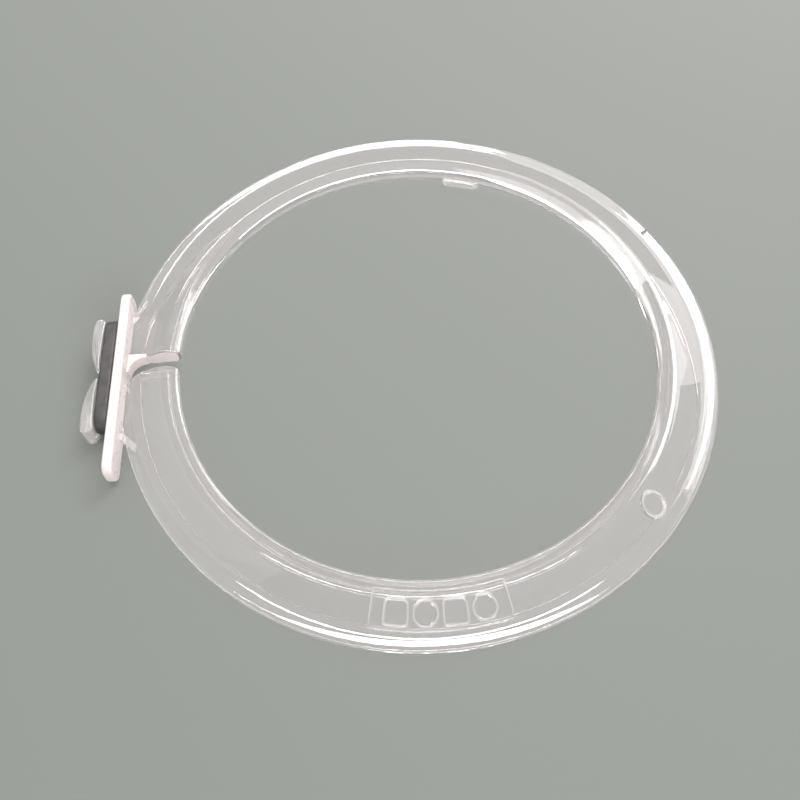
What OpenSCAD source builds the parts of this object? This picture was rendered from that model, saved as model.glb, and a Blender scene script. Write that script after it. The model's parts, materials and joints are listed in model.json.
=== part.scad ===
// Split leg band: a clear flexible ring, slotted through on the -X side and held shut by a
// rubber band looped over two half posts. Millimetres, +Z up.
// Origin: centre of the leg bore, on the plane that the band lies on.

/* [Ring] */
// Bore that goes round the leg
bore_d = 47.8; // [40:0.1:70]
// Width of the moulded section, from bore to outer edge
band_w = 6.1; // [5.5:0.1:8]
// Height of the crest above the base
crest_h = 2.1; // [1.9:0.05:3]
// Height of the top edge of the bore
rim_h = 1.75; // [1.6:0.05:1.9]
// Thickness of the flat outer flange
flange_h = 0.9; // [0.7:0.05:1.2]
// Width of the flat outer flange
flange_w = 1.5; // [1:0.1:2]
// Width of the rim inside the crest
rim_w = 1.7; // [1.4:0.1:2]
// Thickness of the skin over the groove underneath
skin_t = 0.75; // [0.6:0.05:0.9]
// Angle of the ring that bends when the band is opened
flex_angle = 24; // [16:1:36]

/* [Split] */
// Width of the slot between the ends of the two arms
slot_w = 1.65; // [1.2:0.05:1.8]
// Gap in the joint between the two latch plates
joint_gap = 0.1; // [0.1:0.05:0.4]
// Thickness of the wall that closes the end of each groove
end_wall_t = 0.5; // [0.4:0.1:1]
// Height of the latch plates
plate_h = 3; // [2.6:0.1:4]
// Thickness of the latch plates
plate_t = 0.95; // [0.8:0.05:1.3]
// How far the plates stand outside the ring
plate_out = 0.15; // [0.1:0.05:0.6]
// Reach of the upper arm's plate, from the line through the ring's centre
upper_plate_l = 8.4; // [8:0.1:12]
// Reach of the lower arm's plate
lower_plate_l = 12.3; // [10:0.1:13]
// Reach of the upper arm's post
upper_post_l = 4.4; // [3.5:0.1:5]
// Reach of the lower arm's post
lower_post_l = 6.5; // [5:0.1:7]

/* [Rubber band] */
// Width of the rubber band, away from the plates
rubber_w = 1.3; // [1:0.1:2]
// Thickness of one strand
rubber_t = 0.85; // [0.6:0.05:1]

/* [Raised marks] */
// Height of the relief above the surface
relief_h = 0.3; // [0.1:0.05:0.3]
// Number of blank plaques in the number panel
blank_count = 4; // [2:1:5]

/* [Hidden] */
$fn = 96;

clear = [0.86, 0.88, 0.88, 0.6];
black_rubber = [0.13, 0.13, 0.14];

bore_r = bore_d / 2;
outer_r = bore_r + band_w;
crest_r = bore_r + rim_w;
ridge_r = outer_r - flange_w;
slope = (crest_h - flange_h) / (ridge_r - crest_r);

// The slot runs in from the bore and turns down towards the joint between the plates
lower_end_y = -0.45;
upper_end_y = lower_end_y + slot_w;
joint_y = -1.35;
slot_turn_r = 1.8;

// Azimuths: the slot is at 180, the lower arm runs through 270, the flex zone is round 0
arm_angle = 180 - flex_angle / 2;
upper_groove_from = 148;
lower_groove_to = 378;

// Groove underneath
groove_in_r = bore_r + 1;
groove_out_r = ridge_r - 0.6;

// Latch plates lie in line, flat against the outside of the ring
plate_x = -outer_r - plate_out;
plate_in_x = plate_x + plate_t;
plate_corner_r = 1.2;

// Posts carry the rubber band at mid height of the plates
post_h = 1;
post_z = plate_h / 2;
rubber_fit = 0.05;
post_reach = rubber_w + 2 * rubber_fit;
rubber_in_r = post_h / 2 + rubber_fit;

// Webs are short ribs that run from the ring's outer edge to the plates
web_h = 1.2;
web_t = 0.8;
web_in_r = outer_r - 0.9;
fillet_h = 1.5;
fillet_edge = 0.15;

// Hooks stand on the posts and keep the rubber band on; they swell towards the far end
hook_x = plate_x - post_reach;
hook_h = 2.4;
hook_z = post_z - hook_h / 2;

// Number panel on the lower arm
panel_at = 270.5;
panel_angle = 26;
panel_in_r = crest_r - 0.7;
panel_out_r = ridge_r - 0.1;
panel_line = 0.3;
blank_size = 2;
blank_r = (crest_r + ridge_r) / 2 - 0.25;
blank_pitch = (panel_angle - 4) / blank_count;

// Round mould mark on the lower arm
mark_at = 318.5;
mark_d = 2.7;
mark_r = (crest_r + ridge_r) / 2 + 0.15;

// Height of the top surface at radius r
function top_z(r) = r < crest_r
    ? rim_h + (crest_h - rim_h) * (r - bore_r) / rim_w
    : max(flange_h, crest_h - slope * (r - crest_r));

// Swings a piece of the section about Z, from one azimuth to another
module sweep(from, to) {
    rotate([0, 0, from]) rotate_extrude(angle = to - from, $fn = 180) children();
}

// Section of the moulding without its groove
module section() {
    polygon([
        [bore_r, 0],
        [outer_r, 0],
        [outer_r, flange_h],
        [ridge_r, flange_h],
        [crest_r, crest_h],
        [bore_r, rim_h]
    ]);
}

// Section of the groove underneath
module groove_section() {
    below = -0.5;
    polygon([
        [groove_in_r, below],
        [groove_out_r, below],
        [groove_out_r, top_z(groove_out_r) - skin_t],
        [crest_r, crest_h - skin_t],
        [groove_in_r, top_z(groove_in_r) - skin_t]
    ]);
}

// The plates' own space, cut out of the ring
module plate_space() {
    translate([plate_x, -lower_plate_l, 0])
        cube([plate_t, lower_plate_l + upper_plate_l, plate_h]);
}

// Corner between an end face and the plates that the slot's turn, of radius r, leaves over
module turn_corner(end_y, r) {
    side = slot_turn_r;
    difference() {
        translate([plate_in_x, end_y - side]) square(side);
        translate([plate_in_x + side, end_y - side]) circle(r);
    }
}

// Everything past the end face of an arm, on the side that it mustn't reach
module past_end(end_y, side) {
    translate([-outer_r - 5, side > 0 ? end_y - 9 : end_y, -1])
        cube([outer_r - bore_r + 7, 9, plate_h + 2]);
}

// Angle taken up by one end wall and what lies between it and the line through the centre
function groove_end_angle(end_y) = asin((abs(end_y) + end_wall_t) / groove_in_r);

module lower_arm() {
    color(clear) difference() {
        sweep(180, 180 + arm_angle) section();
        sweep(180 + groove_end_angle(lower_end_y), 180 + arm_angle + 1) groove_section();
        plate_space();
        past_end(lower_end_y, -1);
        translate([0, 0, -1]) linear_extrude(plate_h + 2) turn_corner(lower_end_y, slot_turn_r);
    }
}

module upper_arm() {
    notch_from = 22;
    notch_to = 29;
    notch_depth = 0.45;
    color(clear) difference() {
        sweep(flex_angle / 2, 180) section();
        sweep(upper_groove_from, 180 - groove_end_angle(upper_end_y)) groove_section();
        sweep(flex_angle / 2 - 1, lower_groove_to - 360) groove_section();
        sweep(notch_from, notch_to)
            translate([ridge_r + 0.4, flange_h - notch_depth]) square([flange_w, flange_h]);
        plate_space();
        past_end(upper_end_y, 1);
    }
}

// Fills the corner between the upper arm's end face and its plate
module slot_fillet() {
    color(clear) linear_extrude(fillet_h) turn_corner(upper_end_y, slot_turn_r - fillet_edge);
}

module flex_zone() {
    color(clear) difference() {
        sweep(-flex_angle / 2, flex_angle / 2) section();
        sweep(-flex_angle / 2 - 1, flex_angle / 2 + 1) groove_section();
    }
}

// A rib from y = at_plate to y = at_ring; side is 1 on the upper arm and -1 on the lower
module web(side, at_plate, at_ring) {
    ring_x = -sqrt(pow(web_in_r, 2) - pow(at_ring, 2));
    color(clear) difference() {
        linear_extrude(web_h) polygon([
            [plate_in_x, side * (at_plate - web_t / 2)],
            [plate_in_x, side * (at_plate + web_t / 2)],
            [ring_x, side * (at_ring + web_t / 2)],
            [ring_x, side * (at_ring - web_t / 2)]
        ]);
        rotate_extrude($fn = 180) section();
    }
}

module upper_web() { web(1, upper_plate_l - 2.8, upper_plate_l - 0.3); }

module lower_web() { web(-1, lower_plate_l - 4.7, lower_plate_l - 3.1); }

// Where an arm's half of the latch starts, at the joint; side is 1 for upper and -1 for lower
function latch_start(side) = side * joint_y + joint_gap / 2;

// Outline of a plate seen from the side, with both outer corners rounded
module plate_outline(length) {
    r = plate_corner_r;
    square([length - r, plate_h]);
    translate([0, r]) square([length, plate_h - 2 * r]);
    for (z = [r, plate_h - r]) translate([length - r, z]) circle(r);
}

module plate(side, length) {
    color(clear) mirror([0, side < 0 ? 1 : 0, 0])
        translate([plate_x, latch_start(side), 0])
            rotate([90, 0, 90]) linear_extrude(plate_t) plate_outline(length - latch_start(side));
}

module upper_plate() { plate(1, upper_plate_l); }

module lower_plate() { plate(-1, lower_plate_l); }

module post(side, length) {
    start = latch_start(side);
    color(clear) mirror([0, side < 0 ? 1 : 0, 0]) translate([hook_x, 0, post_z])
        rotate([90, 0, 90]) linear_extrude(post_reach) {
            translate([start, -post_h / 2]) square([length - post_h / 2 - start, post_h]);
            translate([length - post_h / 2, 0]) circle(post_h / 2);
        }
}

module upper_post() { post(1, upper_post_l); }

module lower_post() { post(-1, lower_post_l); }

// A horn that starts in a point at the joint, fattens along the post and ends in a bulb
module hook(side, start, length, swell) {
    root = [hook_x - 0.1, start + 0.2, 0.2];
    bend = [hook_x - 0.52, start + 2.1, 0.45];
    tip = [hook_x - swell, length - swell, swell];
    color(clear) mirror([0, side < 0 ? 1 : 0, 0]) translate([0, 0, hook_z])
        linear_extrude(hook_h) difference() {
            for (pair = [[root, bend], [bend, tip]]) hull() {
                for (disc = pair) translate([disc[0], disc[1]]) circle(disc[2], $fn = 32);
            }
            translate([hook_x, start - 1]) square([2, length - start + 2]);
        }
}

module upper_hook() { hook(1, -0.9, 5.2, 0.55); }

module lower_hook() { hook(-1, 1.8, 8, 0.62); }

// Stadium round both posts, grown by the given amount
module loop_outline(grow) {
    r = post_h / 2 + grow;
    reach = upper_post_l + lower_post_l - post_h;
    translate([-lower_post_l + post_h / 2, -r]) square([reach, 2 * r]);
    for (y = [-lower_post_l + post_h / 2, upper_post_l - post_h / 2]) translate([y, 0]) circle(r);
}

module rubber_band() {
    color(black_rubber) translate([plate_x - rubber_fit - rubber_w, 0, post_z])
        rotate([90, 0, 90]) linear_extrude(rubber_w) difference() {
            loop_outline(rubber_fit + rubber_t);
            loop_outline(rubber_fit);
        }
}

// Thin skin over the top surface, which the raised marks are cut from
module relief_skin(from, to) {
    sweep(from, to) polygon([
        [bore_r, rim_h],
        [crest_r, crest_h],
        [ridge_r, flange_h],
        [ridge_r, flange_h + relief_h],
        [crest_r, crest_h + relief_h],
        [bore_r, rim_h + relief_h]
    ]);
}

// Raised mark: a flat pattern pushed up through the skin
module relief(from, to) {
    intersection() {
        relief_skin(from, to);
        linear_extrude(crest_h + 1) children();
    }
}

module panel_sector(in_r, out_r, half_angle) {
    reach = out_r / cos(half_angle) + 1;
    intersection() {
        difference() {
            circle(out_r, $fn = 180);
            circle(in_r, $fn = 180);
        }
        polygon([
            [0, 0],
            reach * [cos(panel_at - half_angle), sin(panel_at - half_angle)],
            reach * [cos(panel_at + half_angle), sin(panel_at + half_angle)]
        ]);
    }
}

module panel_frame() {
    half = panel_angle / 2;
    line_angle = panel_line / panel_out_r * 180 / PI;
    color(clear) relief(panel_at - half - 1, panel_at + half + 1) difference() {
        panel_sector(panel_in_r, panel_out_r, half);
        panel_sector(panel_in_r + panel_line, panel_out_r - panel_line, half - line_angle);
    }
}

// Plain open squares and rings stand in the panel in turn
module panel_blanks() {
    half = panel_angle / 2;
    color(clear) relief(panel_at - half, panel_at + half)
        for (i = [0 : blank_count - 1])
            rotate([0, 0, panel_at + (i - (blank_count - 1) / 2) * blank_pitch])
                translate([blank_r, 0]) blank(i % 2 == 0);
}

module blank(is_square) {
    inner = blank_size - 2 * panel_line;
    difference() {
        if (is_square) square(blank_size, center = true); else circle(d = blank_size);
        if (is_square) square(inner, center = true); else circle(d = inner);
    }
}

module cavity_ring() {
    color(clear) relief(mark_at - 5, mark_at + 5)
        rotate([0, 0, mark_at]) translate([mark_r, 0]) difference() {
            circle(d = mark_d);
            circle(d = mark_d - 0.9);
        }
}

// Small flash nibs on the outer edge
module edge_nibs() {
    nib_l = 0.7;
    nib_out = 0.2;
    color(clear) for (azimuth = [71, 79]) rotate([0, 0, azimuth]) difference() {
        translate([outer_r - 0.2, -nib_l / 2, 0.25]) cube([nib_out + 0.2, nib_l, 0.3]);
        cylinder(r = outer_r, h = 1, $fn = 180);
    }
}

lower_arm();
upper_arm();
flex_zone();
slot_fillet();
lower_web();
upper_web();
lower_plate();
upper_plate();
lower_post();
upper_post();
lower_hook();
upper_hook();
rubber_band();
panel_frame();
panel_blanks();
cavity_ring();
edge_nibs();
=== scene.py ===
"""Clear split leg band with its rubber band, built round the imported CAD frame. Metres, +Z up."""

import json
import math

import bmesh
import bpy
from mathutils import Matrix, Vector


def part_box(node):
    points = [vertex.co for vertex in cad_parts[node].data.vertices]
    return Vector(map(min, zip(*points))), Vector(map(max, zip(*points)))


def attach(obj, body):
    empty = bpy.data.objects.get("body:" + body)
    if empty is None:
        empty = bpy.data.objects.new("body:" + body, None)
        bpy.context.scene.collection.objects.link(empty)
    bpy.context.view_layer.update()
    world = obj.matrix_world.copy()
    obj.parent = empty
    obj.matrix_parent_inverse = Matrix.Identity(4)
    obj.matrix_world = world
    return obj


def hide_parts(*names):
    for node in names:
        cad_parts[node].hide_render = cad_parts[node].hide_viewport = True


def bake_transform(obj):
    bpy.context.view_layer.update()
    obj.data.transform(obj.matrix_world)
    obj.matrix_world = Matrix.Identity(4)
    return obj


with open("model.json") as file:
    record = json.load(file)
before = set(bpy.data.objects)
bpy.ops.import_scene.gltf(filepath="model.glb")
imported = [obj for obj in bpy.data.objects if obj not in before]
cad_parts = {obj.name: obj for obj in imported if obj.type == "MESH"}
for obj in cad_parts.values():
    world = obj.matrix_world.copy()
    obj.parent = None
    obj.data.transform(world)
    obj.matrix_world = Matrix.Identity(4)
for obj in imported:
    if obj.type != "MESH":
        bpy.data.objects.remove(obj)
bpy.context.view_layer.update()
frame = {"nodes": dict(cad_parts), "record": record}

MM = 0.001

# ---- Sizes, from the frame where it holds them ----

BORE_R = next(m for m in frame["record"]["mounts"] if m["name"] == "leg_bore")["dims"]["r_mm"] * MM
ARM_LOW, ARM_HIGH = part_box("lower_arm")
OUTER_R = -ARM_LOW[1]
CREST_H = ARM_HIGH[2]
LOWER_END_Y = ARM_HIGH[1]
UPPER_END_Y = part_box("upper_arm")[0][1]
PLATE_LOW, PLATE_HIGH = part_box("upper_plate")
PLATE_X, PLATE_IN_X = PLATE_LOW[0], PLATE_HIGH[0]
PLATE_H = PLATE_HIGH[2]
FILLET_LOW, FILLET_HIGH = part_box("slot_fillet")
TURN_R = FILLET_HIGH[0] - FILLET_LOW[0]

# The moulded section: rim, crest, slope, flat flange, and the groove underneath
RIM_H = 1.75 * MM
RIM_W = 1.7 * MM
FLANGE_H = 0.9 * MM
FLANGE_W = 1.5 * MM
SKIN_T = 0.75 * MM
CREST_R = BORE_R + RIM_W
RIDGE_R = OUTER_R - FLANGE_W
GROOVE_IN_R = BORE_R + 1.0 * MM
GROOVE_OUT_R = RIDGE_R - 0.6 * MM
GROOVE_TIP_R = CREST_R + 0.4 * MM
END_WALL_T = 0.5 * MM
BORE_RELIEF = 0.55 * MM
STRAND_T = 0.85 * MM
WEB_H = 1.2 * MM

# Both latch plates reach this far into the joint between them
PLATE_OVERREACH = 0.04 * MM

# Azimuths in degrees: the slot is at 180 and the flex zone is round 0
GROOVE_TIP = 17.0
GROOVE_TAPER = 33.0
UPPER_GROOVE_FROM = 138.0
SEAM = 20.0
STEP = 0.5


# ---- Small geometry helpers ----


def top_z(r):
    """Height of the moulding's top surface at radius r."""
    if r < CREST_R:
        return RIM_H + (CREST_H - RIM_H) * (r - BORE_R) / RIM_W
    fall = (CREST_H - FLANGE_H) / (RIDGE_R - CREST_R)
    return max(FLANGE_H, CREST_H - fall * (r - CREST_R))


def rounded(corners, segments=5):
    """A closed outline whose corners (x, y, radius) are rounded off."""
    points = []
    count = len(corners)
    for i, (x, y, radius) in enumerate(corners):
        here = Vector((x, y))
        before = Vector(corners[i - 1][:2]) - here
        after = Vector(corners[(i + 1) % count][:2]) - here
        if radius <= 0:
            points.append(here)
            continue
        reach = min(radius, before.length * 0.49, after.length * 0.49)
        a = here + before.normalized() * reach
        b = here + after.normalized() * reach
        for k in range(segments + 1):
            t = k / segments
            points.append(a * (1 - t) ** 2 + here * 2 * t * (1 - t) + b * t * t)
    return points


def inset(outline, amount):
    """The outline moved inwards by amount at every point."""
    area = sum(p.cross(q) for p, q in zip(outline, outline[1:] + outline[:1]))
    side = 1 if area > 0 else -1
    moved = []
    count = len(outline)
    for i, p in enumerate(outline):
        along = (outline[(i + 1) % count] - outline[i - 1]).normalized()
        moved.append(p + Vector((-along.y, along.x)) * side * amount)
    return moved


def round_steps(radius, segments=4):
    """(distance from the end face, inset) pairs that round an edge over."""
    if radius <= 0:
        return [(0.0, 0.0)]
    turns = [k / segments * math.pi / 2 for k in range(segments + 1)]
    return [(radius * (1 - math.cos(t)), radius * (1 - math.sin(t))) for t in turns]


def mesh_object(name, rings, slot=0, end_slots=None, closed=False, top_slot=None):
    """A mesh skinned through rings of 3D points, capped at both ends unless it closes on itself.

    top_slot is the material of the widest side, as the top of a raised line is.
    """
    bm = bmesh.new()
    first = rings[0]
    widths = [(first[(i + 1) % len(first)] - first[i]).length for i in range(len(first))]
    top = widths.index(max(widths[1:])) if top_slot is not None else None
    loops = [[bm.verts.new(p) for p in ring] for ring in rings]
    pairs = list(zip(loops, loops[1:]))
    if closed:
        pairs.append((loops[-1], loops[0]))
    for a, b in pairs:
        for i in range(len(a)):
            j = (i + 1) % len(a)
            bm.faces.new((a[i], a[j], b[j], b[i])).material_index = top_slot if i == top else slot
    if not closed:
        for loop, end_slot in zip((loops[0], loops[-1]), end_slots or (slot, slot)):
            bm.faces.new(loop).material_index = end_slot
    bmesh.ops.recalc_face_normals(bm, faces=bm.faces)
    mesh = bpy.data.meshes.new(name)
    bm.to_mesh(mesh)
    bm.free()
    for material in MATERIALS:
        mesh.materials.append(material)
    piece = bpy.data.objects.new(name, mesh)
    bpy.context.scene.collection.objects.link(piece)
    return piece


def prism(name, outline, low, high, to_space, edge, slot=0):
    """A slab with the given outline and rounded edges; to_space turns (u, v, w) into a place."""
    steps = round_steps(edge)
    levels = [(low + d, c) for d, c in steps] + [(high - d, c) for d, c in reversed(steps)]
    rings = [[to_space(p.x, p.y, w) for p in inset(outline, c)] for w, c in levels]
    return mesh_object(name, rings, slot)


def at_azimuth(azimuth):
    return lambda r: azimuth


def at_level(y):
    """The azimuth at which radius r meets the plane of this Y, on the -X side."""
    return lambda r: 180 - math.degrees(math.asin(y / r))


def azimuth_steps(start, stop):
    count = max(2, round((stop - start) / STEP))
    return [start + (stop - start) * k / count for k in range(count + 1)]


def swept(name, stations, end_slots=None):
    """A solid skinned through sections (r, z), each at an azimuth that may depend on r."""
    rings = []
    for azimuth_of, section in stations:
        ring = []
        for p in section:
            turn = math.radians(azimuth_of(p.x))
            ring.append(Vector((p.x * math.cos(turn), p.x * math.sin(turn), p.y)))
        rings.append(ring)
    return mesh_object(name, rings, end_slots=end_slots)


def combine(target, others, operation):
    """Joins the other solids to target, or cuts them out of it, and removes them."""
    for other in others:
        modifier = target.modifiers.new("combine", "BOOLEAN")
        modifier.operation = operation
        modifier.solver = "MANIFOLD"
        modifier.object = other
        with bpy.context.temp_override(object=target, active_object=target):
            bpy.ops.object.modifier_apply(modifier=modifier.name)
        bpy.data.objects.remove(other)
    return target


def finish_shading(piece, sharp=32):
    """Smooth shading, with edges steeper than sharp degrees kept crisp."""
    mesh = piece.data
    mesh.polygons.foreach_set("use_smooth", [True] * len(mesh.polygons))
    mesh.set_sharp_from_angle(angle=math.radians(sharp))
    mesh.update()


# ---- Materials ----


class Nodes:
    """Short names for making and joining shader nodes in one material."""

    def __init__(self, name):
        self.material = bpy.data.materials.new(name)
        self.material.use_nodes = True
        self.tree = self.material.node_tree
        self.shader = self.tree.nodes["Principled BSDF"]
        self.output = self.tree.nodes["Material Output"]
        self.place = self.tree.nodes.new("ShaderNodeTexCoord").outputs["Object"]

    def add(self, kind, **inputs):
        node = self.tree.nodes.new(kind)
        for key, value in inputs.items():
            self.set(node, key.replace("_", " "), value)
        return node

    def set(self, node, key, value):
        socket = node.inputs[key]
        if isinstance(value, bpy.types.NodeSocket):
            self.tree.links.new(value, socket)
        else:
            socket.default_value = value

    def noise(self, scale, detail=3.0, roughness=0.5, place=None):
        node = self.add("ShaderNodeTexNoise", Scale=scale, Detail=detail, Roughness=roughness)
        self.set(node, "Vector", place or self.place)
        return node.outputs["Fac"]

    def ramp(self, value, stops):
        node = self.add("ShaderNodeValToRGB")
        elements = node.color_ramp.elements
        while len(elements) < len(stops):
            elements.new(0.5)
        for element, (position, colour) in zip(elements, stops):
            element.position = position
            element.color = colour if len(colour) == 4 else (*colour, 1)
        self.set(node, "Fac", value)
        return node.outputs["Color"]

    def range(self, value, low, high, start=0.0, stop=1.0):
        node = self.tree.nodes.new("ShaderNodeMapRange")
        for key, number in (("From Min", start), ("From Max", stop), ("To Min", low), ("To Max", high)):
            node.inputs[key].default_value = number
        self.set(node, "Value", value)
        return node.outputs["Result"]

    def swap(self, ray, usual, other):
        """The usual shader, but the other one for this kind of ray."""
        mix = self.tree.nodes.new("ShaderNodeMixShader")
        self.set(mix, "Fac", self.tree.nodes.new("ShaderNodeLightPath").outputs[ray])
        self.tree.links.new(usual, mix.inputs[1])
        self.tree.links.new(other, mix.inputs[2])
        return mix.outputs["Shader"]

    def bump(self, height, distance, strength=1.0, below=None):
        node = self.add("ShaderNodeBump", Height=height, Distance=distance, Strength=strength)
        if below:
            self.set(node, "Normal", below)
        return node.outputs["Normal"]

    def stretched(self, x, y, z):
        node = self.add("ShaderNodeMapping", Vector=self.place, Scale=(x, y, z))
        return node.outputs["Vector"]


def clear_plastic(name, tint, roughness, transmission, shade, texture=1.0):
    """Moulded plastic with faint ripple, hairline scratches and smears.

    Shadow and diffuse rays go straight through it, dimmed by shade.
    """
    n = Nodes(name)
    smear = n.noise(160, 4, 0.6)
    lighter = [min(1, c * 1.03) for c in tint]
    n.set(n.shader, "Base Color", n.ramp(smear, [(0.3, tint), (0.7, lighter)]))
    n.set(n.shader, "Roughness", n.range(n.noise(700, 5, 0.7), roughness * 0.5, roughness * 1.8, 0.35, 0.7))
    ripple = n.bump(n.noise(140, 2, 0.4), 0.00004, 0.08 * texture)
    scratches = n.noise(2400, 2, 0.5, n.stretched(1.0, 0.12, 1.0))
    n.set(n.shader, "Normal", n.bump(scratches, 0.000004, 0.35 * texture, ripple))
    n.shader.inputs["Transmission Weight"].default_value = transmission
    n.shader.inputs["IOR"].default_value = 1.5
    n.shader.inputs["Specular IOR Level"].default_value = 0.5
    through = n.add("ShaderNodeBsdfTransparent", Color=(*shade, 1)).outputs["BSDF"]
    surface = n.shader.outputs["BSDF"]
    for ray in ("Is Diffuse Ray", "Is Shadow Ray"):
        surface = n.swap(ray, surface, through)
    n.tree.links.new(surface, n.output.inputs["Surface"])
    return n.material


def open_joint(name):
    """Lets everything through: the hidden faces where two pieces of the one moulding meet."""
    n = Nodes(name)
    through = n.add("ShaderNodeBsdfTransparent", Color=(1, 1, 1, 1))
    n.tree.links.new(through.outputs["BSDF"], n.output.inputs["Surface"])
    return n.material


def black_rubber(name):
    """Matt moulded rubber with a dusty bloom."""
    n = Nodes(name)
    bloom = n.noise(500, 6, 0.65)
    dark, dusty = (0.03, 0.028, 0.027), (0.075, 0.07, 0.067)
    n.set(n.shader, "Base Color", n.ramp(bloom, [(0.35, dark), (0.72, dusty)]))
    n.set(n.shader, "Roughness", n.range(n.noise(1500, 4, 0.6), 0.48, 0.72, 0.3, 0.7))
    pores = n.bump(n.noise(6000, 3, 0.6), 0.00001, 0.6)
    n.set(n.shader, "Normal", n.bump(n.noise(900, 3, 0.5), 0.00004, 0.35, pores))
    n.shader.inputs["IOR"].default_value = 1.52
    return n.material


def floor_paint(name):
    """Plain pale matt surface."""
    n = Nodes(name)
    n.shader.inputs["Base Color"].default_value = (*FLOOR_COLOUR, 1)
    n.shader.inputs["Roughness"].default_value = 0.75
    return n.material


FLOOR_COLOUR = (0.165, 0.177, 0.164)
CLEAR = clear_plastic("clear_plastic", (0.98, 0.94, 0.945), 0.03, 0.94, (0.97, 0.96, 0.96))
# Painted glare: the plates, posts, slot fillet and upper end face are the same clear plastic, given an
# opaque whitish colour that stands in for the glare on them
PAINTED_GLARE = clear_plastic("painted_glare_plastic", (0.68, 0.605, 0.595), 0.3, 0.0, (0.7, 0.68, 0.68), 0.25)
# Painted highlight: a whitish, partly opaque copy of the clear plastic on the webs and the sides of the
# raised marks, standing in for the bright edges that light makes on them
PAINTED_HIGHLIGHT = clear_plastic("highlight_painted_plastic", (0.97, 0.94, 0.945), 0.1, 0.8, (0.9, 0.89, 0.89), 0.4)
HORN = clear_plastic("horn_plastic", (0.98, 0.95, 0.93), 0.05, 0.84, (0.9, 0.89, 0.89), 0.4)
JOINT = open_joint("open_joint")
RUBBER = black_rubber("black_rubber")
MATERIALS = [CLEAR, JOINT, PAINTED_GLARE, PAINTED_HIGHLIGHT, HORN, RUBBER]
CLEAR_SLOT, JOINT_SLOT, PAINTED_GLARE_SLOT, PAINTED_HIGHLIGHT_SLOT, HORN_SLOT, RUBBER_SLOT = range(len(MATERIALS))


# ---- The ring ----


def ring_section():
    """Outline of the moulding: rounded rim, crest and outer edge, with a relieved lower bore edge."""
    return rounded([
        (BORE_R + BORE_RELIEF, 0, 0.1 * MM),
        (OUTER_R, 0, 0.15 * MM),
        (OUTER_R, FLANGE_H, 0.42 * MM),
        (RIDGE_R, FLANGE_H, 0.5 * MM),
        (CREST_R, CREST_H, 0.45 * MM),
        (BORE_R, RIM_H, 0.35 * MM),
        (BORE_R, 0.8 * MM, 0.3 * MM),
    ])


def groove_section(spread=1.0):
    """Outline of the groove underneath, open downwards; spread 0 shuts it to a line at its tip."""
    in_r = GROOVE_TIP_R + (GROOVE_IN_R - GROOVE_TIP_R) * spread
    peak_r = GROOVE_TIP_R + (CREST_R - GROOVE_TIP_R) * spread
    out_r = GROOVE_TIP_R + (GROOVE_OUT_R - GROOVE_TIP_R) * spread
    below = -1 * MM
    return rounded([
        (in_r, below, 0),
        (out_r, below, 0),
        (out_r, top_z(out_r) - SKIN_T, 0.12 * MM),
        (peak_r, top_z(peak_r) - SKIN_T, 0.4 * MM),
        (in_r, top_z(in_r) - SKIN_T, 0.2 * MM),
    ])


def groove_stations(start, stop, tip, run):
    """Groove sections between two azimuths, opening out over the run of degrees from its tip."""
    stations = []
    for azimuth in azimuth_steps(start, stop):
        spread = min(1.0, 0.07 + abs(azimuth - tip) / run)
        stations.append((at_azimuth(azimuth), groove_section(spread)))
    return stations


# ---- The latch halves; side is 1 on the upper arm and -1 on the lower ----


def seen_from_side(side):
    """Turns (length along Y, height, depth from the plate's outer face) into a place."""
    return lambda u, v, w: Vector((PLATE_X + w, side * u, v))


def seen_from_above(side):
    return lambda u, v, w: Vector((u, side * v, w))


def reach_of(side, node):
    """Where a latch piece starts, at the joint, and ends, as distances on its own arm's side."""
    low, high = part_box(node)
    return sorted((side * low[1], side * high[1]))


def latch_plate(side, node):
    """A latch plate with rounded edges, cut off square where it meets the other one."""
    start, stop = reach_of(side, node)
    start -= PLATE_OVERREACH
    corner, spare = 1.2 * MM, MM
    outline = rounded([
        (start - spare, 0, 0),
        (stop, 0, corner),
        (stop, PLATE_H, corner),
        (start - spare, PLATE_H, 0),
    ], 8)
    to_space = seen_from_side(side)
    # The plate's opaque whitish colour is painted glare
    plate = prism("plate", outline, 0, PLATE_IN_X - PLATE_X, to_space, 0.2 * MM, PAINTED_GLARE_SLOT)
    waste_outline = rounded([
        (start - 2 * spare, -spare, 0),
        (start, -spare, 0),
        (start, 2 * PLATE_H, 0),
        (start - 2 * spare, 2 * PLATE_H, 0),
    ])
    waste = prism("waste", waste_outline, -spare, 2 * spare, to_space, 0, PAINTED_GLARE_SLOT)
    return combine(plate, [waste], "DIFFERENCE")


def latch_post(side, node):
    """The half post that the rubber band goes round, sunk a little into its plate."""
    low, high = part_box(node)
    start, stop = reach_of(side, node)
    outline = rounded([
        (start, low[2], 0.1 * MM),
        (stop, low[2], 0.5 * MM),
        (stop, high[2], 0.5 * MM),
        (start, high[2], 0.1 * MM),
    ])
    sunk = 0.2 * MM
    # The post's opaque whitish colour is painted glare
    return prism("post", outline, low[0] - PLATE_X - sunk, sunk, seen_from_side(side), 0, PAINTED_GLARE_SLOT)


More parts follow.
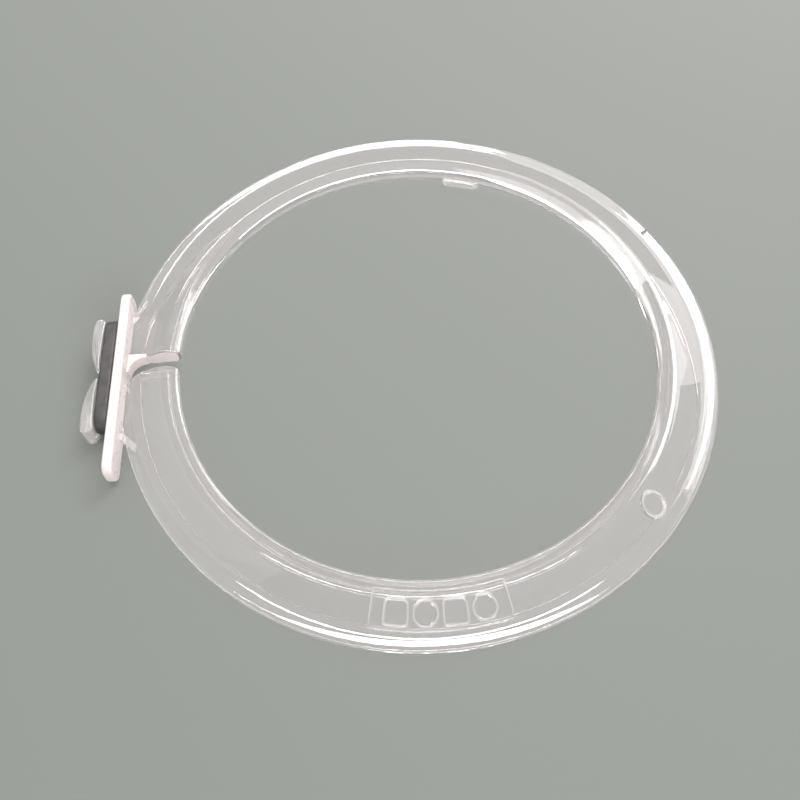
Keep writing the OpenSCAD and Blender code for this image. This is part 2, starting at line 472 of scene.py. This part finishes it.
def horn_outline(centres):
    """Outline of a tapering horn through discs (x, y, radius), along a smooth curve."""
    start, bend, tip = [Vector(c) for c in centres]
    count = 14
    spine = []
    for k in range(count + 1):
        t = k / count
        spine.append(start * (1 - t) ** 2 + bend * 2 * t * (1 - t) + tip * t * t)
    left, right = [], []
    for i, p in enumerate(spine):
        ahead, behind = spine[min(i + 1, count)], spine[max(i - 1, 0)]
        along = Vector((ahead.x - behind.x, ahead.y - behind.y)).normalized()
        across = Vector((-along.y, along.x)) * p.z
        left.append(Vector((p.x, p.y)) + across)
        right.append(Vector((p.x, p.y)) - across)
    ends = []
    for centre, at in ((spine[-1], left[-1]), (spine[0], right[0])):
        hub = Vector((centre.x, centre.y))
        arm = at - hub
        turns = [math.radians(-180 * k / 8) for k in range(1, 8)]
        ends.append([hub + Matrix.Rotation(t, 2) @ arm for t in turns])
    return left + ends[0] + right[::-1] + ends[1]


def latch_hook(side, node, swell):
    """The horn that keeps the rubber band on its post; swell is the radius of its bulb."""
    low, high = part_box(node)
    start, stop = reach_of(side, node)
    centres = [
        (high[0] - 0.2 * MM, start + 0.2 * MM, 0.18 * MM),
        (low[0] + 0.36 * MM, start + (stop - start) * 0.35, 0.62 * MM),
        (low[0] + swell + 0.06 * MM, stop - swell, swell),
    ]
    outline = horn_outline(centres)
    return prism("hook", outline, low[2], high[2], seen_from_above(side), 0.2 * MM, HORN_SLOT)


def latch_web(side, at_plate, at_ring):
    """A short rib from the plate to the ring's outer edge."""
    half = 0.3 * MM
    ring_r = OUTER_R - 0.9 * MM
    ring_x = -math.sqrt(ring_r ** 2 - at_ring ** 2)
    outline = rounded([
        (PLATE_IN_X - 0.3 * MM, at_plate - half * 2, 0),
        (PLATE_IN_X - 0.3 * MM, at_plate + half, 0),
        (ring_x, at_ring + half, 0),
        (ring_x, at_ring - half * 2, 0),
    ])
    # The rib's whitish colour is a painted highlight
    return prism("web", outline, 0.1 * MM, WEB_H, seen_from_above(side), 0.12 * MM, PAINTED_HIGHLIGHT_SLOT)


def slot_fillet():
    """Fills the corner between the upper arm's end face and its plate, hollow to the slot's turn."""
    sunk = 0.25 * MM
    centre = Vector((PLATE_IN_X + TURN_R, UPPER_END_Y - TURN_R))
    radius = TURN_R - 0.15 * MM
    outline = [
        Vector((centre.x, UPPER_END_Y + sunk)),
        Vector((PLATE_IN_X - sunk, UPPER_END_Y + sunk)),
        Vector((PLATE_IN_X - sunk, centre.y)),
    ]
    for k in range(13):
        turn = math.radians(180 - 90 * k / 12)
        outline.append(centre + radius * Vector((math.cos(turn), math.sin(turn))))
    to_space = seen_from_above(1)
    # The fillet's opaque whitish colour is painted glare
    return prism("slot_fillet", outline, 0.05 * MM, FILLET_HIGH[2], to_space, 0.08 * MM, PAINTED_GLARE_SLOT)


def corner_cut(corner, inwards, radius, beyond):
    """Leftover of a square round a disc, for rounding off one upright corner of the moulding."""
    centre = corner + inwards * radius
    outline = []
    for k in range(13):
        turn = math.radians(90 * k / 12)
        arm = Vector((inwards.x * math.cos(turn), inwards.y * math.sin(turn)))
        outline.append(centre - arm * radius)
    outline.append(Vector((centre.x, corner.y - inwards.y * beyond)))
    outline.append(corner - inwards * beyond)
    outline.append(Vector((corner.x - inwards.x * beyond, centre.y)))
    return prism("corner", outline, -MM, PLATE_H + MM, seen_from_above(1), 0)


# ---- Raised marks on the slope ----


def on_slope(r, azimuth):
    turn = math.radians(azimuth)
    return Vector((r * math.cos(turn), r * math.sin(turn), top_z(r)))


def raised_line(name, path, width, height):
    """A flat-topped raised line along a closed path of (r, azimuth) on the top surface."""
    spots = [on_slope(r, a) for r, a in path]
    count = len(spots)
    foot = width / 2 + 0.07 * MM
    shoulder = width / 2 - 0.07 * MM
    profile = rounded([
        (-foot, -0.12 * MM, 0),
        (foot, -0.12 * MM, 0),
        (shoulder, height, 0.06 * MM),
        (-shoulder, height, 0.06 * MM),
    ], 3)
    rings = []
    for i, (p, (r, azimuth)) in enumerate(zip(spots, path)):
        along = (spots[(i + 1) % count] - spots[i - 1]).normalized()
        tilt = (top_z(r - 0.1 * MM) - top_z(r + 0.1 * MM)) / (0.2 * MM)
        turn = math.radians(azimuth)
        up = Vector((tilt * math.cos(turn), tilt * math.sin(turn), 1)).normalized()
        across = along.cross(up).normalized()
        rings.append([p + across * q.x + up * q.y for q in profile])
    # The sides of the line take the painted highlight white; the top stays clear
    return mesh_object(name, rings, PAINTED_HIGHLIGHT_SLOT, closed=True, top_slot=CLEAR_SLOT)


def ring_mark(r, azimuth, radius, width, height):
    """A plain raised ring."""
    path = []
    for k in range(28):
        t = math.tau * k / 28
        path.append((r + radius * math.cos(t), azimuth + math.degrees(radius * math.sin(t) / r)))
    return raised_line("ring_mark", path, width, height)


def square_mark(r, azimuth, half, width, height):
    """A plain raised open square with round corners."""
    corners = [(-half, -half), (half, -half), (half, half), (-half, half)]
    outline = rounded([(x, y, half * 0.4) for x, y in corners])
    path = [(r + p.x, azimuth + math.degrees(p.y / r)) for p in outline]
    return raised_line("square_mark", path, width, height)


def panel_border(azimuth, half_angle, in_r, out_r, width, height):
    """The raised frame of the number panel, which follows the ring round."""
    span = 12
    outer = [(out_r, azimuth - half_angle + 2 * half_angle * k / span) for k in range(span + 1)]
    inner = [(in_r, azimuth + half_angle - 2 * half_angle * k / span) for k in range(span + 1)]
    sides = 5
    right = [(out_r + (in_r - out_r) * k / sides, azimuth + half_angle) for k in range(1, sides)]
    left = [(in_r + (out_r - in_r) * k / sides, azimuth - half_angle) for k in range(1, sides)]
    return raised_line("panel_border", outer + right + inner + left, width, height)


def raised_marks():
    """The framed panel with its plain squares and rings in turn, and the round mark beside it."""
    panel_at, half_angle, blanks = 270.5, 13.0, 4
    mark_at = 318.5
    pitch = (2 * half_angle - 4) / blanks
    height = 0.28 * MM
    middle = (CREST_R + RIDGE_R) / 2
    frame_in_r, frame_out_r = CREST_R - 0.5 * MM, RIDGE_R - 0.2 * MM
    marks = [panel_border(panel_at, half_angle, frame_in_r, frame_out_r, 0.26 * MM, height * 0.8)]
    for i in range(blanks):
        azimuth = panel_at + (i - (blanks - 1) / 2) * pitch
        shape = square_mark if i % 2 == 0 else ring_mark
        marks.append(shape(middle - 0.15 * MM, azimuth, 1.05 * MM, 0.28 * MM, height))
    marks.append(ring_mark(middle + 0.15 * MM, mark_at, 1.12 * MM, 0.34 * MM, height))
    return marks


# ---- The two halves of the moulding ----


def spun_to(azimuth):
    """Turns (distance from the centre, distance across, height) into a place at this azimuth."""
    spin = Matrix.Rotation(math.radians(azimuth), 3, "Z")
    return lambda u, v, w: spin @ Vector((u, v, w))


def gate_tab():
    """Low tab left by the mould gate, inside the bore."""
    half, out = 1.7 * MM, 0.4 * MM
    outline = rounded([
        (BORE_R + 0.9 * MM, -half - 0.9 * MM, 0),
        (BORE_R + 0.3 * MM, -half - 0.5 * MM, 0.1 * MM),
        (BORE_R - out, -half, 0.15 * MM),
        (BORE_R - out, half, 0.15 * MM),
        (BORE_R + 0.3 * MM, half + 0.5 * MM, 0.1 * MM),
        (BORE_R + 0.9 * MM, half + 0.9 * MM, 0),
    ])
    return prism("gate_tab", outline, 0.05 * MM, 0.85 * MM, spun_to(74.5), 0.12 * MM)


def edge_nib(azimuth):
    """A small flash nib on the outer edge."""
    outline = rounded([
        (OUTER_R - 0.3 * MM, -0.35 * MM, 0),
        (OUTER_R + 0.18 * MM, -0.3 * MM, 0.1 * MM),
        (OUTER_R + 0.18 * MM, 0.3 * MM, 0.1 * MM),
        (OUTER_R - 0.3 * MM, 0.35 * MM, 0),
    ])
    return prism("nib", outline, 0.25 * MM, 0.55 * MM, spun_to(azimuth), 0.08 * MM)


def flange_notch():
    """Shallow step cut down into the flat flange of the upper arm."""
    depth, start, stop = 0.45 * MM, 22.0, 29.0
    section = rounded([
        (RIDGE_R + 0.4 * MM, FLANGE_H - depth, 0.05 * MM),
        (OUTER_R + MM, FLANGE_H - depth, 0),
        (OUTER_R + MM, FLANGE_H + MM, 0),
        (RIDGE_R + 0.4 * MM, FLANGE_H + MM, 0),
    ])
    return swept("flange_notch", [(at_azimuth(a), section) for a in azimuth_steps(start, stop)])


def lower_moulding():
    """The lower arm and the stretch that bends, from the slot round to the seam."""
    section = ring_section()
    stations = [(at_level(LOWER_END_Y - d), inset(section, c)) for d, c in round_steps(0.14 * MM)]
    stations += [(at_azimuth(a), section) for a in azimuth_steps(183, 360 + SEAM)]
    piece = swept("lower_moulding", stations, (CLEAR_SLOT, JOINT_SLOT))
    tip = 360 + GROOVE_TIP
    channel = [(at_level(LOWER_END_Y - END_WALL_T), groove_section())]
    channel += groove_stations(184, tip, tip, GROOVE_TAPER)
    bore_corner = corner_cut(Vector((-BORE_R, LOWER_END_Y)), Vector((-1, -1)), 0.8 * MM, 0.4 * MM)
    plate_corner = corner_cut(Vector((PLATE_IN_X, LOWER_END_Y)), Vector((1, -1)), TURN_R, 1.2 * MM)
    combine(piece, [swept("groove", channel), bore_corner, plate_corner], "DIFFERENCE")
    latch = [
        latch_web(-1, 7.6 * MM, 9.2 * MM),
        latch_plate(-1, "lower_plate"),
        latch_post(-1, "lower_post"),
        latch_hook(-1, "lower_hook", 0.62 * MM),
    ]
    combine(piece, latch + raised_marks(), "UNION")
    finish_shading(piece)
    return piece


def upper_moulding():
    """The upper arm, from the seam round to the slot."""
    section = ring_section()
    stations = [(at_azimuth(a), section) for a in azimuth_steps(SEAM, 175)]
    stations += [(at_level(UPPER_END_Y + d), inset(section, c)) for d, c in reversed(round_steps(0.14 * MM))]
    # The end face at the slot takes the painted glare white
    piece = swept("upper_moulding", stations, (JOINT_SLOT, PAINTED_GLARE_SLOT))
    channel = groove_stations(UPPER_GROOVE_FROM, 174, UPPER_GROOVE_FROM, GROOVE_TAPER)
    channel.append((at_level(UPPER_END_Y + END_WALL_T), groove_section()))
    bore_corner = corner_cut(Vector((-BORE_R, UPPER_END_Y)), Vector((-1, 1)), 0.35 * MM, 0.4 * MM)
    combine(piece, [swept("groove", channel), bore_corner, flange_notch()], "DIFFERENCE")
    latch = [
        latch_web(1, 5.6 * MM, 8.1 * MM),
        slot_fillet(),
        latch_plate(1, "upper_plate"),
        latch_post(1, "upper_post"),
        latch_hook(1, "upper_hook", 0.55 * MM),
    ]
    combine(piece, latch + [gate_tab(), edge_nib(71), edge_nib(79)], "UNION")
    finish_shading(piece)
    return piece


def rubber_loop():
    """The rubber band: a rounded strand round both posts, and where its straight runs end."""
    low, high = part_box("rubber_band")
    radius = (high[2] - low[2]) / 2 - STRAND_T / 2
    middle_z = (low[2] + high[2]) / 2
    far, near = high[1] - radius - STRAND_T / 2, low[1] + radius + STRAND_T / 2
    runs, turns = 26, 14
    route = []
    for k in range(runs):
        route.append((near + (far - near) * k / runs, radius, math.pi / 2))
    for k in range(turns):
        t = math.pi / 2 - math.pi * k / turns
        route.append((far + radius * math.cos(t), radius * math.sin(t), t))
    for k in range(runs):
        route.append((far + (near - far) * k / runs, -radius, -math.pi / 2))
    for k in range(turns):
        t = -math.pi / 2 - math.pi * k / turns
        route.append((near + radius * math.cos(t), radius * math.sin(t), t))
    width = high[0] - low[0]
    mid_x = (low[0] + high[0]) / 2
    corner = 0.3 * MM
    strand_outline = rounded([
        (-width / 2, -STRAND_T / 2, corner),
        (width / 2, -STRAND_T / 2, corner),
        (width / 2, STRAND_T / 2, corner),
        (-width / 2, STRAND_T / 2, corner),
    ], 4)
    rings = []
    for y, z, turn in route:
        out = Vector((0, math.cos(turn), math.sin(turn)))
        centre = Vector((mid_x, y, middle_z + z))
        rings.append([centre + Vector((q.x, 0, 0)) + out * q.y for q in strand_outline])
    piece = mesh_object("rubber_loop", rings, RUBBER_SLOT, closed=True)
    finish_shading(piece, 60)
    return piece, near, far


lower = lower_moulding()
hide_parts("lower_arm", "flex_zone", "lower_web", "lower_plate", "lower_post", "lower_hook")
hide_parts("panel_frame", "panel_blanks", "cavity_ring")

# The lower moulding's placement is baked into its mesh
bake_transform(lower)

upper = upper_moulding()
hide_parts("upper_arm", "slot_fillet", "upper_web", "upper_plate", "upper_post", "upper_hook")
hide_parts("edge_nibs")
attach(upper, "upper_arm")

loop, loop_near, loop_far = rubber_loop()
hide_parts("rubber_band")
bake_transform(loop)

for node in frame["nodes"].values():
    node.data.materials.clear()
    node.data.materials.append(RUBBER if "rubber" in node.name else CLEAR)


# ---- Floor, light and camera ----


def add_floor():
    half = 1.5
    mesh = bpy.data.meshes.new("floor")
    corners = [(-half, -half, 0), (half, -half, 0), (half, half, 0), (-half, half, 0)]
    mesh.from_pydata(corners, [], [(0, 1, 2, 3)])
    mesh.materials.append(floor_paint("floor_paint"))
    floor = bpy.data.objects.new("floor", mesh)
    floor.location.z = -0.06 * MM
    bpy.context.scene.collection.objects.link(floor)


def add_softbox(name, place, size, power, colour=(1, 1, 1)):
    """A rectangular lamp that points at the middle of the ring."""
    data = bpy.data.lights.new(name, "AREA")
    data.shape = "RECTANGLE"
    data.size, data.size_y = size
    data.energy = power
    data.color = colour
    lamp = bpy.data.objects.new(name, data)
    lamp.location = place
    lamp.rotation_euler = (-Vector(place)).to_track_quat("-Z", "Y").to_euler()
    bpy.context.scene.collection.objects.link(lamp)


def add_world():
    world = bpy.data.worlds.new("studio")
    world.use_nodes = True
    background = world.node_tree.nodes["Background"]
    background.inputs["Color"].default_value = (0.80, 0.84, 0.82, 1)
    background.inputs["Strength"].default_value = 0.26
    bpy.context.scene.world = world


def add_camera():
    azimuth, elevation, distance = math.radians(-1.45), math.radians(60.4), 0.0896
    aim = Vector((-0.00205, -0.00478, 0))
    across = math.cos(elevation)
    away = Vector((math.sin(azimuth) * across, -math.cos(azimuth) * across, math.sin(elevation)))
    data = bpy.data.cameras.new("camera")
    data.lens = 40.5
    data.clip_start = 0.001
    camera = bpy.data.objects.new("camera", data)
    camera.location = aim + away * distance
    look = (-away).to_track_quat("-Z", "Y").to_matrix()
    roll = Matrix.Rotation(math.radians(-2.0), 3, "Z")
    camera.rotation_euler = (look @ roll).to_euler()
    bpy.context.scene.collection.objects.link(camera)
    bpy.context.scene.camera = camera


add_floor()
WARM, SOFT = (1.0, 0.97, 0.97), (1.0, 0.98, 0.98)
add_softbox("window", (0.26, 0.30, 0.26), (0.42, 0.30), 1.3, WARM)
add_softbox("key", (0.19, 0.25, 0.26), (0.10, 0.08), 0.5, SOFT)
add_softbox("high", (0.17, 0.245, 0.40), (0.16, 0.14), 0.6, SOFT)
add_softbox("overhead", (0.0, 0.05, 0.45), (0.30, 0.03), 1.0, SOFT)
add_softbox("strip", (-0.06, 0.28, 0.22), (0.26, 0.045), 0.5, SOFT)
add_softbox("fill", (-0.30, 0.05, 0.24), (0.34, 0.34), 0.22)
add_softbox("front", (0.06, -0.30, 0.12), (0.34, 0.06), 1.1)
add_world()
add_camera()
bpy.context.scene.view_settings.view_transform = "Standard"
